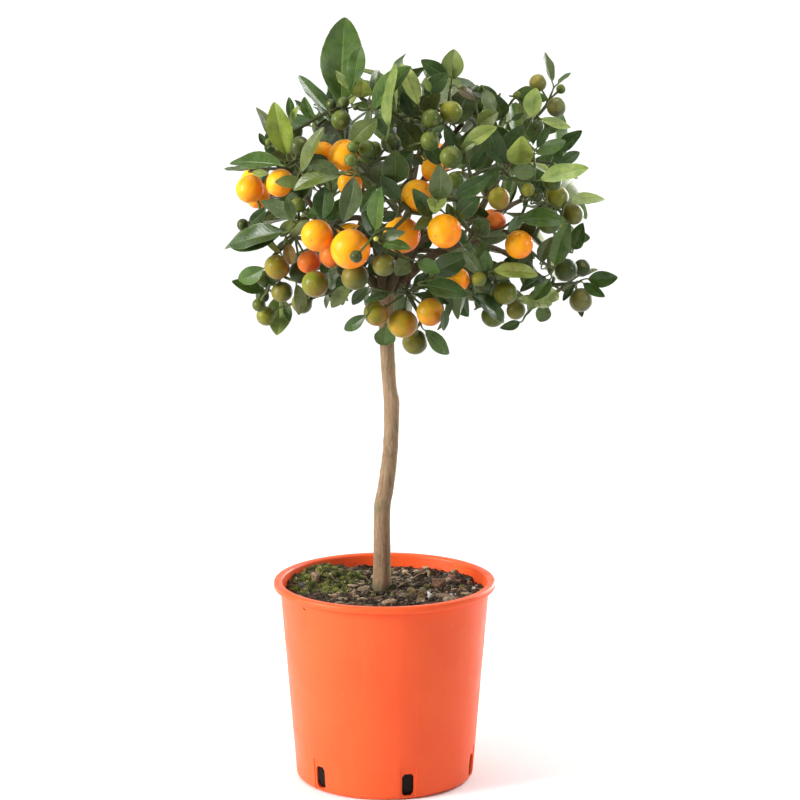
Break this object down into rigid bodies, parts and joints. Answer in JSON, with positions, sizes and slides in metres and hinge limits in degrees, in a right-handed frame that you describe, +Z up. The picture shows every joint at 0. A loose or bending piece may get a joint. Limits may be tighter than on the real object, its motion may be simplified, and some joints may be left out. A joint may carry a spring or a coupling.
{
  "type": "potted dwarf orange tree",
  "caption": "Small citrus tree trained on one bare stem, with a round crown of glossy leaves and many small oranges, in a tapered plastic nursery pot.",
  "frame": {"origin": "middle of the pot's underside, on the ground", "axes": "+Z up along the trunk, front of the tree at -Y, +X to the right as seen from the front"},
  "size_m": [0.3594, 0.3172, 0.7208],
  "materials": {
    "pot": "orange-coral moulded plastic, semi-gloss",
    "soil": "dark brown peaty potting mix, matt",
    "bark": "tan bark with fine cracks",
    "leafy_spray": "green leaves, twigs and unripe fruits with a waxy sheen",
    "ripe_fruit": "orange peel, pitted and slightly glossy"
  },
  "bodies": {
    "root": {"pot": "pot", "soil": "soil", "trunk": "bark", "spray_front_far_left": "leafy_spray", "spray_front_left": "leafy_spray", "spray_front_low_left": "leafy_spray", "spray_front_middle": "leafy_spray", "spray_front_low_middle": "leafy_spray", "spray_front_right": "leafy_spray", "spray_front_low_right": "leafy_spray", "spray_front_far_right": "leafy_spray", "spray_low_right": "leafy_spray", "spray_crest_left": "leafy_spray", "spray_crest_middle": "leafy_spray", "spray_crest_right": "leafy_spray", "spray_crest_far_right": "leafy_spray", "spray_shoulder_left": "leafy_spray", "spray_back_left": "leafy_spray", "spray_back_low_middle": "leafy_spray", "spray_back_middle": "leafy_spray", "spray_back_right": "leafy_spray", "spray_back_far_right": "leafy_spray", "spray_back_crest": "leafy_spray", "orange_01": "ripe_fruit", "orange_02": "ripe_fruit", "orange_03": "ripe_fruit", "orange_04": "ripe_fruit", "orange_05": "ripe_fruit", "orange_06": "ripe_fruit", "orange_07": "ripe_fruit", "orange_08": "ripe_fruit", "orange_09": "ripe_fruit", "orange_10": "ripe_fruit", "orange_11": "ripe_fruit", "orange_12": "ripe_fruit", "orange_13": "ripe_fruit", "orange_14": "ripe_fruit", "orange_15": "ripe_fruit", "orange_16": "ripe_fruit", "orange_17": "ripe_fruit", "orange_18": "ripe_fruit", "orange_19": "ripe_fruit", "orange_20": "ripe_fruit", "orange_21": "ripe_fruit", "orange_22": "ripe_fruit", "orange_23": "ripe_fruit", "orange_24": "ripe_fruit", "orange_25": "ripe_fruit", "orange_26": "ripe_fruit", "orange_27": "ripe_fruit", "orange_28": "ripe_fruit", "orange_29": "ripe_fruit", "orange_30": "ripe_fruit", "orange_31": "ripe_fruit"}
  },
  "joints": []
}
